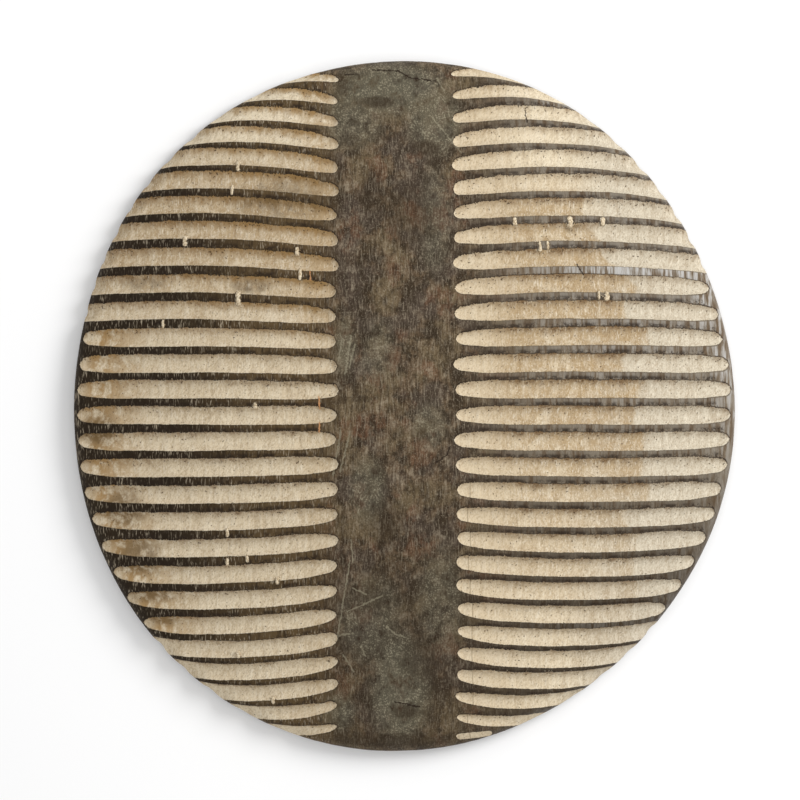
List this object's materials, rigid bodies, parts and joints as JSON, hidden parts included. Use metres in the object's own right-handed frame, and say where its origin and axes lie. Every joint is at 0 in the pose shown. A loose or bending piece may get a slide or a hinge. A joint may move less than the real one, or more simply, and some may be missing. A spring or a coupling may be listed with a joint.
{
  "type": "carved wooden shield",
  "caption": "Round domed shield of dark carved wood, with pale scooped flutes either side of a plain upright band and a grip left standing in its hollow back.",
  "frame": {"origin": "middle of the bounding box in the plane of the flat back rim, on which the shield lies", "axes": "+Z out of the face, +Y to the top of the face along the grain and the grip, +X to the right as the face is seen"},
  "size_m": [0.5606, 0.5852, 0.0786],
  "materials": {
    "carved_wood": "dark stained skin with a dull polish, and dry pale wood where the flutes are scooped"
  },
  "bodies": {
    "root": {"shield": "carved_wood"}
  },
  "joints": []
}
